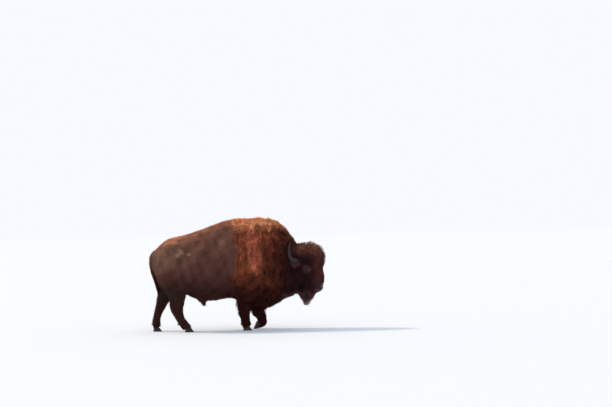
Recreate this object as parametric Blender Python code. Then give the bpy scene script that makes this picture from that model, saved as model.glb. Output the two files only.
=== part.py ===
"""A bull bison standing in mid-step, life size, as faceted solids.

Metres, +Z up, +X the way the animal faces, +Y its left side, the floor at Z = 0.
The outer surface is the outline of the coat. The body is modelled whole from lofted sections,
fused into one closed skin, and then parted by thin cuts into the pieces a person would name.
"""

import math

import bmesh
import bpy
from mathutils import Matrix, Vector

# ---------------------------------------------------------------- driving dimensions
HUMP_HEIGHT = 1.82  # floor to the top of the hump, coat included
BODY_LENGTH = 2.82  # back of the tail to the front of the forelock
SKETCH_HEIGHT = 1.82  # the height at which the tables below were laid out
SKETCH_LENGTH = 2.82  # and their length
SCALE_X = BODY_LENGTH / SKETCH_LENGTH
SCALE_Z = HUMP_HEIGHT / SKETCH_HEIGHT

HEAD_TURN = math.radians(-22)  # the head looks a little to the animal's right
HEAD_PIVOT_X = 0.85  # the joint between neck and head
LEG_SPREAD_HIND = 0.19  # centre line to the middle of a hind leg
LEG_SPREAD_FORE = 0.17

GAP = 0.0004  # clear space between neighbouring pieces
VOXEL = 0.016  # grid of the fused skin
SMOOTHING = 5
BODY_TRIANGLES = 3750

SHARP_DEGREES = 40  # edges sharper than this stay edges when shaded
EYE_RADIUS = 0.020
RING_SIDES = 28


# ---------------------------------------------------------------- small tools
def clear_scene():
    for obj in list(bpy.data.objects):
        bpy.data.objects.remove(obj)


def material(name, colour, roughness, metallic=0.0):
    made = bpy.data.materials.new(name)
    made.use_nodes = True
    shader = made.node_tree.nodes["Principled BSDF"]
    shader.inputs["Base Color"].default_value = (*colour, 1)
    shader.inputs["Roughness"].default_value = roughness
    shader.inputs["Metallic"].default_value = metallic
    return made


def add_object(name, mesh):
    obj = bpy.data.objects.new(name, mesh)
    bpy.context.scene.collection.objects.link(obj)
    return obj


def catmull(p0, p1, p2, p3, t):
    """A smooth value between p1 and p2, for t from 0 to 1."""
    return 0.5 * (
        2 * p1
        + (p2 - p0) * t
        + (2 * p0 - 5 * p1 + 4 * p2 - p3) * t * t
        + (3 * p1 - p0 - 3 * p2 + p3) * t * t * t
    )


def glide(rows, steps):
    """The rows of a table of numbers, with smooth rows put between each two of them."""
    out = []
    for i in range(len(rows) - 1):
        near = [rows[max(i - 1, 0)], rows[i], rows[i + 1], rows[min(i + 2, len(rows) - 1)]]
        for k in range(steps):
            out.append([catmull(*column, k / steps) for column in zip(*near)])
    out.append(list(rows[-1]))
    return out


def rounded(angle, power):
    """The cosine of an angle, squared off (power over 2) or pinched (power under 2)."""
    c = math.cos(angle)
    return math.copysign(abs(c) ** (2 / power), c)


def loft(name, rings):
    """One closed mesh through a list of rings of points, with flat ends."""
    bm = bmesh.new()
    rows = [[bm.verts.new(p) for p in ring] for ring in rings]
    sides = len(rings[0])
    for a, b in zip(rows, rows[1:]):
        for i in range(sides):
            j = (i + 1) % sides
            bm.faces.new((a[i], a[j], b[j], b[i]))
    bm.faces.new(rows[0])
    bm.faces.new(rows[-1])
    bmesh.ops.recalc_face_normals(bm, faces=bm.faces)
    mesh = bpy.data.meshes.new(name)
    bm.to_mesh(mesh)
    bm.free()
    return add_object(name, mesh)


def evaluated_copy(obj, name):
    """A new object that holds the mesh as its modifiers leave it."""
    graph = bpy.context.evaluated_depsgraph_get()
    mesh = bpy.data.meshes.new_from_object(obj.evaluated_get(graph))
    mesh.name = name
    bpy.data.objects.remove(obj)
    return add_object(name, mesh)


def joined(name, pieces):
    """Several closed meshes in one object, still overlapping."""
    bm = bmesh.new()
    for piece in pieces:
        bm.from_mesh(piece.data)
        bpy.data.objects.remove(piece)
    mesh = bpy.data.meshes.new(name)
    bm.to_mesh(mesh)
    bm.free()
    return add_object(name, mesh)


def grown(obj, by):
    """A copy of a mesh, moved outwards along its normals, for use as a cutter."""
    copy = add_object(obj.name + "_cutter", obj.data.copy())
    normals = [v.normal.copy() for v in copy.data.vertices]
    for v, n in zip(copy.data.vertices, normals):
        v.co += n * by
    return copy


def boolean(obj, cutter, operation):
    """Applies one exact Boolean and keeps the object's name."""
    name = obj.name
    step = obj.modifiers.new("cut", "BOOLEAN")
    step.operation = operation
    step.object = cutter
    obj.name = name + "_before"
    return evaluated_copy(obj, name)


def take_away(obj, cutter):
    obj = boolean(obj, cutter, "DIFFERENCE")
    bpy.data.objects.remove(cutter)
    return obj


def ellipsoid(name, centre, radii, turn=0.0, segments=24, rings=16):
    """A ball stretched to three radii, leaned by turn about the left-right axis."""
    bm = bmesh.new()
    bmesh.ops.create_uvsphere(bm, u_segments=segments, v_segments=rings, radius=1)
    bm.transform(
        Matrix.Translation(centre)
        @ Matrix.Rotation(turn, 4, "Y")
        @ Matrix.Diagonal((*radii, 1))
    )
    mesh = bpy.data.meshes.new(name)
    bm.to_mesh(mesh)
    bm.free()
    return add_object(name, mesh)


def prism(name, outline, low_y, high_y):
    """A side-view outline of (x, z) points, drawn out from low_y to high_y."""
    return loft(name, [[(x, y, z) for x, z in outline] for y in (low_y, high_y)])


# ---------------------------------------------------------------- trunk and neck
# One row for each place along the body, tail end first:
# x, top, bottom, half width, height of the widest place, how squared the top is, and the bottom
TRUNK_SECTIONS = [
    (-1.355, 1.180, 1.050, 0.050, 1.110, 2.0, 2.0),  # under the tail head
    (-1.325, 1.280, 0.940, 0.150, 1.080, 2.0, 2.0),  # pin bones
    (-1.235, 1.378, 0.800, 0.245, 1.060, 2.1, 2.0),  # buttock
    (-1.090, 1.485, 0.680, 0.305, 1.050, 2.1, 2.0),  # hip joint
    (-0.850, 1.540, 0.600, 0.322, 1.030, 2.0, 2.1),  # loin and flank
    (-0.620, 1.608, 0.490, 0.350, 0.960, 1.9, 2.2),  # last rib
    (-0.370, 1.700, 0.474, 0.378, 0.920, 1.8, 2.3),  # middle of the barrel
    (-0.140, 1.774, 0.510, 0.392, 0.920, 1.7, 2.2),  # where the hump begins
    (0.060, 1.808, 0.480, 0.405, 0.930, 1.6, 2.1),  # girth, behind the elbow
    (0.260, 1.812, 0.405, 0.412, 0.930, 1.55, 2.0),  # shoulder
    (0.390, 1.824, 0.365, 0.408, 0.930, 1.55, 1.9),  # top of the hump
    (0.520, 1.801, 0.345, 0.390, 0.940, 1.6, 1.8),  # breast
    (0.660, 1.762, 0.420, 0.355, 0.960, 1.7, 1.8),  # root of the neck
    (0.770, 1.672, 0.485, 0.310, 0.980, 1.8, 1.9),
    (0.860, 1.545, 0.515, 0.285, 0.980, 1.9, 2.0),  # crest of the neck
    (0.950, 1.420, 0.540, 0.240, 0.980, 2.0, 2.0),  # behind the jaw
    (1.020, 1.300, 0.640, 0.160, 0.980, 2.0, 2.0),
]


def trunk():
    rings = []
    for x, top, bottom, half, widest, crown, keel in glide(TRUNK_SECTIONS, 3):
        ring = []
        for i in range(RING_SIDES):
            angle = 2 * math.pi * i / RING_SIDES
            up = math.sin(angle) >= 0
            power = crown if up else keel
            height = (top - widest) if up else (widest - bottom)
            y = half * rounded(angle, power)
            z = widest + height * rounded(angle - math.pi / 2, power)
            ring.append((x * SCALE_X, y, z * SCALE_Z))
        rings.append(ring)
    return loft("trunk_form", rings)


def muscles():
    """The masses that stand out from the barrel: shoulders, thighs and hips."""
    made = []
    for side in (-1, 1):
        made.append(
            ellipsoid(
                "shoulder", (0.22, side * 0.275, 0.96), (0.27, 0.140, 0.40), math.radians(14)
            )
        )
        made.append(
            ellipsoid("upper_arm", (0.16, side * 0.250, 0.66), (0.20, 0.125, 0.20))
        )
        made.append(
            ellipsoid(
                "thigh", (-1.045, side * 0.205, 0.93), (0.262, 0.135, 0.37), math.radians(-10)
            )
        )
        made.append(
            ellipsoid("hip", (-0.98, side * 0.17, 1.27), (0.24, 0.13, 0.17), math.radians(10))
        )
    return made


# ---------------------------------------------------------------- legs
# Each joint of a leg: x, height, distance out from the leg's own middle line,
# half depth fore and aft, half width. The last row lies inside the hooves and is cut off.
HIND_RIGHT = [
    (-1.030, 1.000, 0.010, 0.235, 0.115),  # hip
    (-1.000, 0.820, 0.010, 0.225, 0.120),  # thigh
    (-0.980, 0.680, 0.005, 0.185, 0.110),  # stifle
    (-0.980, 0.560, 0.000, 0.140, 0.092),  # gaskin
    (-0.986, 0.470, 0.000, 0.124, 0.078),
    (-0.988, 0.385, 0.000, 0.111, 0.070),  # hock
    (-0.967, 0.300, 0.000, 0.088, 0.064),
    (-0.936, 0.220, 0.000, 0.072, 0.061),  # cannon
    (-0.904, 0.160, 0.000, 0.073, 0.068),  # fetlock
    (-0.862, 0.105, 0.000, 0.073, 0.068),  # pastern
    (-0.826, 0.065, 0.000, 0.070, 0.072),  # coronet
    (-0.796, 0.000, 0.000, 0.066, 0.074),  # inside the hoof
]
HIND_LEFT = [
    (-1.100, 1.000, 0.010, 0.220, 0.115),
    (-1.115, 0.820, 0.010, 0.200, 0.120),
    (-1.125, 0.680, 0.005, 0.165, 0.110),
    (-1.160, 0.560, 0.000, 0.120, 0.092),
    (-1.196, 0.470, 0.000, 0.098, 0.078),
    (-1.228, 0.385, 0.000, 0.082, 0.070),
    (-1.262, 0.300, 0.000, 0.067, 0.064),
    (-1.284, 0.220, 0.000, 0.064, 0.061),
    (-1.294, 0.150, 0.000, 0.070, 0.068),
    (-1.286, 0.105, 0.000, 0.067, 0.068),
    (-1.280, 0.065, 0.000, 0.065, 0.072),
    (-1.276, 0.000, 0.000, 0.063, 0.074),
]
FORE_RIGHT = [
    (0.160, 0.800, 0.030, 0.230, 0.110),  # shoulder blade
    (0.110, 0.640, 0.030, 0.195, 0.115),  # elbow
    (0.087, 0.520, 0.020, 0.156, 0.110),
    (0.084, 0.420, 0.010, 0.136, 0.100),  # forearm, with its long hair
    (0.086, 0.330, 0.005, 0.132, 0.094),  # knee, still under the hair
    (0.090, 0.270, 0.000, 0.112, 0.084),  # hem of the long hair
    (0.100, 0.225, 0.000, 0.078, 0.068),
    (0.103, 0.170, 0.000, 0.073, 0.063),  # cannon
    (0.108, 0.125, 0.000, 0.076, 0.070),  # fetlock
    (0.122, 0.095, 0.000, 0.073, 0.070),  # pastern
    (0.130, 0.065, 0.000, 0.070, 0.073),  # coronet
    (0.136, 0.000, 0.000, 0.066, 0.075),  # inside the hoof
]
FORE_LEFT = [
    (0.240, 0.800, 0.030, 0.230, 0.110),
    (0.310, 0.640, 0.030, 0.195, 0.115),
    (0.350, 0.520, 0.020, 0.170, 0.110),
    (0.358, 0.420, 0.010, 0.164, 0.100),
    (0.362, 0.340, 0.005, 0.162, 0.094),
    (0.380, 0.272, 0.000, 0.134, 0.084),
    (0.402, 0.230, 0.000, 0.090, 0.068),
    (0.404, 0.185, 0.000, 0.078, 0.065),
    (0.420, 0.140, 0.000, 0.072, 0.066),
    (0.432, 0.104, 0.000, 0.060, 0.068),  # fetlock, bent forward
    (0.402, 0.074, 0.000, 0.052, 0.068),  # pastern, which trails behind it
    (0.370, 0.062, 0.000, 0.050, 0.070),  # coronet
    (0.335, 0.056, 0.000, 0.048, 0.072),  # inside the hoof
]


def leg(name, joints, spread, side):
    """An oval tube through a leg's joints, each ring square to the leg's own line."""
    rows = glide(joints, 3)
    middles = [
        Vector((x * SCALE_X, side * (spread + out), z * SCALE_Z)) for x, z, out, _, _ in rows
    ]
    rings = []
    for i, (_, _, _, deep, wide) in enumerate(rows):
        along = middles[min(i + 1, len(rows) - 1)] - middles[max(i - 1, 0)]
        fore = Vector((-along.z, 0, along.x)).normalized()
        ring = []
        for k in range(RING_SIDES):
            angle = 2 * math.pi * k / RING_SIDES
            ring.append(
                middles[i]
                + fore * deep * math.cos(angle)
                + Vector((0, wide * math.sin(angle), 0))
            )
        rings.append(ring)
    return loft(name, rings)


# ---------------------------------------------------------------- head
# The head is laid out in its own upright plane: forward from the pivot, out to the side, height.
def head_to_body(forward, out, height):
    """A point of the head's own layout, turned with the head."""
    c, s = math.cos(HEAD_TURN), math.sin(HEAD_TURN)
    return Vector(
        (
            HEAD_PIVOT_X * SCALE_X + forward * c - out * s,
            forward * s + out * c,
            height * SCALE_Z,
        )
    )


# height, front, back, half width, how squared the section is
HEAD_SECTIONS = [
    (1.396, 0.390, 0.215, 0.070, 2.0),  # top of the forelock
    (1.376, 0.440, 0.150, 0.125, 2.1),
    (1.320, 0.512, 0.080, 0.172, 2.2),
    (1.240, 0.582, 0.030, 0.203, 2.3),
    (1.156, 0.603, 0.005, 0.213, 2.4),  # the forelock at its fullest
    (1.070, 0.590, -0.010, 0.207, 2.4),  # horn bases
    (0.995, 0.550, -0.010, 0.192, 2.5),  # eyes
    (0.915, 0.556, 0.010, 0.172, 2.5),
    (0.840, 0.572, 0.050, 0.152, 2.5),  # cheek
    (0.760, 0.568, 0.120, 0.130, 2.5),
    (0.690, 0.558, 0.185, 0.117, 2.6),  # nostrils
    (0.635, 0.544, 0.225, 0.108, 2.6),  # upper lip
    (0.592, 0.496, 0.255, 0.088, 2.4),  # lower lip
    (0.568, 0.440, 0.300, 0.050, 2.2),  # chin
]
BEARD_SECTIONS = [
    (0.640, 0.470, 0.120, 0.085, 2.0),
    (0.560, 0.455, 0.140, 0.082, 2.0),
    (0.500, 0.430, 0.158, 0.073, 2.0),
    (0.440, 0.395, 0.178, 0.058, 2.0),
    (0.390, 0.352, 0.205, 0.040, 2.0),
    (0.352, 0.312, 0.240, 0.018, 2.0),
]


def upright_form(name, sections):
    """A loft of level sections in the head's own layout."""
    rings = []
    for height, front, back, half, power in glide(sections, 3):
        middle, reach = (front + back) / 2, (front - back) / 2
        ring = []
        for i in range(RING_SIDES):
            angle = 2 * math.pi * i / RING_SIDES
            forward = middle + reach * rounded(angle, power)
            out = half * rounded(angle - math.pi / 2, power)
            ring.append(head_to_body(forward, out, height))
        rings.append(ring)
    return loft(name, rings)


def head_masses():
    """Brows over the eyes, and the bulb of the nose."""
    made = []
    for side in (-1, 1):
        centre = head_to_body(0.352, side * 0.152, 1.018)
        made.append(ellipsoid("brow", centre, (0.070, 0.055, 0.045)))
        centre = head_to_body(0.200, side * 0.120, 0.870)
        made.append(ellipsoid("jowl", centre, (0.150, 0.070, 0.150)))
        centre = head_to_body(0.500, side * 0.062, 0.672)
        made.append(ellipsoid("nostril_wing", centre, (0.045, 0.046, 0.055)))
    return made


# forward, out, height, radius along the horn, root first
HORN_COURSE = [
    (0.185, 0.095, 1.110, 0.041),
    (0.165, 0.155, 1.098, 0.041),
    (0.147, 0.215, 1.092, 0.038),
    (0.118, 0.272, 1.105, 0.033),
    (0.094, 0.312, 1.150, 0.028),
    (0.082, 0.330, 1.215, 0.023),
    (0.081, 0.324, 1.285, 0.017),
    (0.088, 0.304, 1.345, 0.010),
    (0.096, 0.284, 1.386, 0.004),
]
HORN_SIDES = 10


def tube(name, centres, radii, sides, flatten=None):
    """A round tube through centres. flatten squeezes it along that direction: (direction, share)."""
    rings = []
    for i, centre in enumerate(centres):
        along = (centres[min(i + 1, len(centres) - 1)] - centres[max(i - 1, 0)]).normalized()
        first = along.cross(Vector((0.3, 1, 0.2))).normalized()
        second = along.cross(first)
        ring = []
        for k in range(sides):
            angle = 2 * math.pi * k / sides
            offset = (first * math.cos(angle) + second * math.sin(angle)) * radii[i]
            if flatten:
                direction, share = flatten
                offset -= direction * offset.dot(direction) * (1 - share)
            ring.append(centre + offset)
        rings.append(ring)
    return loft(name, rings)


def horn(name, side):
    rows = glide(HORN_COURSE, 1)
    centres = [head_to_body(f, side * out, h) for f, out, h, _ in rows]
    return tube(name, centres, [row[3] for row in rows], HORN_SIDES)


# forward, out, height, half width: the ear points back and out, half sunk in the hair
EAR_COURSE = [
    (0.160, 0.120, 1.020, 0.020),
    (0.138, 0.165, 1.018, 0.030),
    (0.115, 0.208, 1.013, 0.040),
    (0.092, 0.248, 1.005, 0.043),
    (0.072, 0.282, 0.994, 0.035),
    (0.058, 0.308, 0.984, 0.018),
    (0.053, 0.318, 0.980, 0.006),
]
EAR_THINNESS = 0.36


def ear(name, side):
    """A leaf-shaped ear, flat from front to back."""
    rows = glide(EAR_COURSE, 1)
    centres = [head_to_body(f, side * out, h) for f, out, h, _ in rows]
    face = (head_to_body(0.75, side * 0.66, 0) - head_to_body(0, 0, 0)).normalized()
    return tube(name, centres, [row[3] for row in rows], 10, (face, EAR_THINNESS))


EYE_FORWARD, EYE_OUT, EYE_HEIGHT = 0.330, 0.166, 0.974


def eye(name, side):
    centre = head_to_body(EYE_FORWARD, side * EYE_OUT, EYE_HEIGHT)
    return ellipsoid(name, centre, (EYE_RADIUS, EYE_RADIUS, EYE_RADIUS), 0.0, 10, 8)


def eye_opening(side):
    """A short flared plug that lets the eye be seen from outside."""
    start = head_to_body(EYE_FORWARD, side * (EYE_OUT - 0.004), EYE_HEIGHT)
    end = head_to_body(EYE_FORWARD + 0.012, side * (EYE_OUT + 0.060), EYE_HEIGHT)
    return tube("eye_opening", [start, end], [EYE_RADIUS * 0.86, EYE_RADIUS * 2.1], 14)


# ---------------------------------------------------------------- tail, sheath, scrotum
TAIL_COURSE = [  # x, height, radius
    (-1.270, 1.300, 0.030),
    (-1.330, 1.262, 0.032),
    (-1.372, 1.190, 0.028),
    (-1.380, 1.090, 0.023),
    (-1.360, 0.980, 0.024),
    (-1.328, 0.880, 0.024),
    (-1.300, 0.800, 0.025),
    (-1.275, 0.730, 0.028),
    (-1.262, 0.670, 0.024),
    (-1.255, 0.612, 0.010),
]
TAIL_TUFT_TOP = 0.850
SHEATH_COURSE = [  # x, height, radius
    (-0.590, 0.560, 0.085),
    (-0.562, 0.495, 0.068),
    (-0.540, 0.445, 0.050),
    (-0.522, 0.402, 0.036),
    (-0.512, 0.370, 0.018),
]


def course_tube(name, course, sides):
    rows = glide(course, 1)
    centres = [Vector((x * SCALE_X, 0, z * SCALE_Z)) for x, z, _ in rows]
    return tube(name, centres, [row[2] for row in rows], sides)


# ---------------------------------------------------------------- hooves and dewclaws
HOOF_LENGTH = 0.150
HOOF_WIDTH = 0.060  # of each of the two claws
HOOF_HEIGHT = 0.074  # at the toe
HEEL_SHARE = 0.62  # height of the heel, as a share of the toe's
TOE_SLOPE = 0.054  # how far the top of the toe lies behind its tip
HEEL_SLOPE = 0.014  # and how far the top of the heel lies ahead of its foot
HOOF_SIDES = 10
CLAW_SPACE = 0.004  # between the two claws of a foot
TOE_FLAT = 0.007  # how much of a tipped toe is worn level
TRIM_ROOM = 0.12  # how far the flesh is trimmed round a flat foot's hooves
TIPPED_ROOM = 0.025  # and under a tipped foot's, whose heel lies against the cannon
# height as a share of the whole, width as a share of the sole's
HOOF_LEVELS = [(0.0, 1.0), (0.5, 0.98), (1.0, 0.90)]


def hoof_placing(toe_x, y, tip_down):
    """Puts a foot laid out with its toe at the origin in its place, tipped about the toe."""
    sunk = TOE_FLAT if tip_down else 0
    return Matrix.Translation((toe_x, y, -sunk)) @ Matrix.Rotation(tip_down, 4, "Y")


def claw(name, toe_x, y, side, tip_down):
    """Half a cloven hoof: a flat sole, a sloping front wall and a lower heel."""
    outward = side * (HOOF_WIDTH / 2 + CLAW_SPACE / 2)
    rings = []
    for share, size in HOOF_LEVELS:
        front = -TOE_SLOPE * share
        back = -HOOF_LENGTH + HEEL_SLOPE * share
        ring = []
        for k in range(HOOF_SIDES):
            angle = 2 * math.pi * k / HOOF_SIDES
            c, s = math.cos(angle), math.sin(angle)
            toward_toe = (c + 1) / 2
            x = back + (front - back) * toward_toe
            # the toe is narrower than the heel
            width = HOOF_WIDTH / 2 * size * (1 - 0.14 * c)
            z = HOOF_HEIGHT * share * (HEEL_SHARE + (1 - HEEL_SHARE) * toward_toe)
            ring.append(Vector((x, outward + width * s, z)))
        rings.append(ring)
    obj = loft(name, rings)
    obj.data.transform(hoof_placing(toe_x, y, tip_down))
    if tip_down:
        flatten_at_floor(obj)
    return obj


def below_coronet(toe_x, y, tip_down):
    """The space below the top of a foot's hooves, where its flesh ends."""
    reach = TRIM_ROOM
    back = -HOOF_LENGTH + (HEEL_SLOPE if tip_down else -TRIM_ROOM)
    under = -TIPPED_ROOM if tip_down else -TRIM_ROOM
    slope = HOOF_HEIGHT * (1 - HEEL_SHARE) / (HOOF_LENGTH - TOE_SLOPE - HEEL_SLOPE)
    ahead = HOOF_HEIGHT + (TOE_SLOPE + reach) * slope
    behind = HOOF_HEIGHT + (TOE_SLOPE + back) * slope
    outline = [(reach, ahead + GAP), (back, behind + GAP), (back, under), (reach, under)]
    block = prism("below_coronet", outline, -reach, reach)
    block.data.transform(hoof_placing(toe_x, y, tip_down))
    return block


def flatten_at_floor(obj):
    """Cuts off what lies under the floor and closes the hole with a small flat."""
    bm = bmesh.new()
    bm.from_mesh(obj.data)
    cut = bmesh.ops.bisect_plane(
        bm,
        geom=bm.verts[:] + bm.edges[:] + bm.faces[:],
        plane_co=(0, 0, 0.0),
        plane_no=(0, 0, -1),
        clear_outer=True,
    )
    rim = [g for g in cut["geom_cut"] if isinstance(g, bmesh.types.BMEdge)]
    bmesh.ops.holes_fill(bm, edges=rim)
    bmesh.ops.recalc_face_normals(bm, faces=bm.faces)
    bm.to_mesh(obj.data)
    bm.free()


def dewclaw(name, x, y, height, side):
    """A small horny knob behind the fetlock."""
    centre = Vector((x, y + side * 0.030, height))
    tip = centre + Vector((-0.016, 0, -0.030))
    root = centre + Vector((0.030, 0, 0.012))
    return tube(name, [root, centre, tip], [0.014, 0.017, 0.007], 6)


FEET = [  # leg, side, joints, spread, toe x, tip down, dewclaw x and height
    ("foreleg_right", -1, FORE_RIGHT, LEG_SPREAD_FORE, 0.216, 0.0, 0.046, 0.118),
    ("foreleg_left", 1, FORE_LEFT, LEG_SPREAD_FORE, 0.270, 2.00, 0.334, 0.196),
    ("hindleg_right", -1, HIND_RIGHT, LEG_SPREAD_HIND, -0.718, 0.0, -0.962, 0.140),
    ("hindleg_left", 1, HIND_LEFT, LEG_SPREAD_HIND, -1.200, 0.0, -1.352, 0.130),
]


# ---------------------------------------------------------------- fusing and parting
def fuse(pieces):
    """All the forms of flesh as one closed skin, with fewer facets where it is nearly flat."""
    body = joined("body", pieces)
    step = body.modifiers.new("voxels", "REMESH")
    step.mode = "VOXEL"
    step.voxel_size = VOXEL
    step.adaptivity = 0
    step = body.modifiers.new("smooth", "SMOOTH")
    step.factor = 0.5
    step.iterations = SMOOTHING
    body = evaluated_copy(body, "body")
    step = body.modifiers.new("fewer", "DECIMATE")
    step.ratio = BODY_TRIANGLES / (2 * len(body.data.polygons))
    step.use_collapse_triangulate = True
    return evaluated_copy(body, "body")


def part_off(body, name, cutter):
    """Takes what lies inside the cutter off the body, as a piece of its own."""
    corners = [v.co for v in cutter.data.vertices]
    centre = sum(corners, Vector()) / len(corners)
    size = max((corner - centre).length for corner in corners)
    clearance = add_object("clearance", cutter.data.copy())
    for v in clearance.data.vertices:
        v.co = centre + (v.co - centre) * (1 + 2 * GAP / size)
    whole = add_object(name, body.data.copy())
    piece = boolean(whole, cutter, "INTERSECT")
    body = boolean(body, clearance, "DIFFERENCE")
    bpy.data.objects.remove(cutter)
    bpy.data.objects.remove(clearance)
    return body, piece


def finish(pieces):
    """Materials, and the origin under the middle of the whole animal."""
    looks = {
        "coat_rust": material("coat_rust", (0.20, 0.075, 0.030), 0.9),
        "coat_brown": material("coat_brown", (0.085, 0.045, 0.030), 0.85),
        "coat_dark": material("coat_dark", (0.022, 0.012, 0.012), 0.85),
        "horn": material("horn", (0.045, 0.042, 0.045), 0.35),
        "hoof": material("hoof", (0.020, 0.017, 0.016), 0.45),
        "eye": material("eye", (0.008, 0.005, 0.004), 0.08),
    }
    corners = [v.co for p in pieces for v in p.data.vertices]
    low_x, high_x = min(c.x for c in corners), max(c.x for c in corners)
    low_y, high_y = min(c.y for c in corners), max(c.y for c in corners)
    move = Matrix.Translation((-(low_x + high_x) / 2, -(low_y + high_y) / 2, 0))
    print("moved by", [round(c, 4) for c in move.translation])
    triangles = sum(len(f.vertices) - 2 for p in pieces for f in p.data.polygons)
    print(len(pieces), "pieces,", triangles, "triangles")
    for piece in pieces:
        piece.data.transform(move)
        piece.data.materials.clear()
        piece.data.materials.append(looks[LOOK_OF.get(piece.name.split("_")[0], "coat_brown")])
        piece.data.shade_smooth()
        piece.data.set_sharp_from_angle(angle=math.radians(SHARP_DEGREES))


LOOK_OF = {
    "hump": "coat_rust",
    "neck": "coat_rust",
    "head": "coat_dark",
    "beard": "coat_dark",
    "ear": "coat_dark",
    "foreleg": "coat_dark",
    "horn": "horn",
    "hoof": "hoof",
    "dewclaw": "hoof",
    "eye": "eye",
}


def set_in(named, flesh, piece):
    """Adds a piece of horn, gristle or glass, and hollows the flesh out round it."""
    bm = bmesh.new()
    bm.from_mesh(piece.data)
    bmesh.ops.triangulate(bm, faces=bm.faces)  # so that the grown copy has the same facets
    bm.to_mesh(piece.data)
    bm.free()
    named[flesh] = take_away(named[flesh], grown(piece, 1.5 * GAP))
    named[piece.name] = piece


def build():
    clear_scene()
    forms = [trunk(), upright_form("head_form", HEAD_SECTIONS)]
    forms.append(upright_form("beard_form", BEARD_SECTIONS))
    forms += muscles() + head_masses()
    forms.append(course_tube("sheath_form", SHEATH_COURSE, 14))
    for name, side, joints, spread, *_ in FEET:
        forms.append(leg(name + "_form", joints, spread, side))
    body = fuse(forms)
    whole = grown(body, GAP)

    pieces = []
    # legs, each cut off along a slanting line through the top of the limb
    cuts = {
        "foreleg_right": ([(-0.20, 0.60), (0.36, 0.54), (0.36, -0.10), (-0.20, -0.10)], -0.50, -0.045),
        "foreleg_left": ([(0.12, 0.60), (0.545, 0.54), (0.545, -0.10), (0.12, -0.10)], 0.045, 0.50),
        "hindleg_right": ([(-1.60, 0.83), (-0.76, 0.62), (-0.70, -0.10), (-1.60, -0.10)], -0.50, -0.012),
        "hindleg_left": ([(-1.60, 0.83), (-0.76, 0.62), (-0.70, -0.10), (-1.60, -0.10)], 0.012, 0.50),
        "sheath": ([(-0.72, 0.462), (-0.44, 0.462), (-0.44, 0.30), (-0.72, 0.30)], -0.20, 0.20),
    }
    for name, (outline, low_y, high_y) in cuts.items():
        body, piece = part_off(body, name, prism("cutter", outline, low_y, high_y))
        pieces.append(piece)
    # beard, head and neck, cut across the head's own line
    beard_box = [(-0.02, 0.572), (0.62, 0.572), (0.62, 0.20), (-0.02, 0.20)]
    head_box = [(0.050, 1.70), (0.90, 1.70), (0.90, 0.20), (0.010, 0.20)]
    for name, outline in (("beard", beard_box), ("head", head_box)):
        cutter = loft(
            "cutter", [[head_to_body(f, out, h) for f, h in outline] for out in (-0.6, 0.6)]
        )
        body, piece = part_off(body, name, cutter)
        pieces.append(piece)
    side_cuts = {
        "neck": [(0.76, 2.0), (0.50, 0.20), (1.60, 0.20), (1.60, 2.0)],
        "hump": [(-0.56, 2.0), (-0.50, 1.470), (0.90, 1.400), (0.90, 2.0)],
        "hindquarters": [(-1.70, 2.0), (-0.74, 2.0), (-0.86, 0.20), (-1.70, 0.20)],
    }
    for name, outline in side_cuts.items():
        body, piece = part_off(body, name, prism("cutter", outline, -0.7, 0.7))
        pieces.append(piece)
    body.name = "trunk"
    pieces.append(body)
    named = {p.name: p for p in pieces}

    # what sits in the head: horns, ears and eyes
    for side, word in ((-1, "right"), (1, "left")):
        for make, kind in ((horn, "horn"), (ear, "ear"), (eye, "eye")):
            set_in(named, "head", make(f"{kind}_{word}", side))
        named["head"] = take_away(named["head"], eye_opening(side))

    # hooves and dewclaws, two of each to a foot
    for name, side, _, spread, toe_x, tip_down, dew_x, dew_z in FEET:
        toe_x *= SCALE_X
        named[name] = take_away(named[name], below_coronet(toe_x, side * spread, tip_down))
        for claw_side, word in ((-1, "r"), (1, "l")):
            y = side * spread
            foot = name.replace("leg", "") + "_" + word
            set_in(named, name, claw("hoof_" + foot, toe_x, y, claw_side, tip_down))
            knob = dewclaw("dewclaw_" + foot, dew_x * SCALE_X, y, dew_z * SCALE_Z, claw_side)
            set_in(named, name, knob)

    # the tail hangs clear behind the rump, and the scrotum between the thighs
    tail = course_tube("tail", TAIL_COURSE, 8)
    tail = boolean(tail, whole, "DIFFERENCE")
    tuft_box = [(-1.6, TAIL_TUFT_TOP), (-1.0, TAIL_TUFT_TOP), (-1.0, 0.5), (-1.6, 0.5)]
    tail, named["tail_tuft"] = part_off(tail, "tail_tuft", prism("cutter", tuft_box, -0.2, 0.2))
    named["tail"] = tail
    sac = ellipsoid("scrotum", Vector((-0.985, 0, 0.640)), (0.060, 0.052, 0.095), 0.0, 14, 10)
    named["scrotum"] = boolean(sac, whole, "DIFFERENCE")
    bpy.data.objects.remove(whole)
    finish(list(named.values()))


build()
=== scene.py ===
# %% [markdown]
# # A bull bison in his winter coat
# The animal is built round a fixed frame of plain solids that give the outline of his coat.
# Under that outline goes one closed skin, and on the skin go locks of hair, region by region.
# Horns, hooves and eyes are separate pieces, because on the real animal they are other stuff.

import math

import bpy
import numpy as np
from mathutils import Matrix, Vector, kdtree


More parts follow.
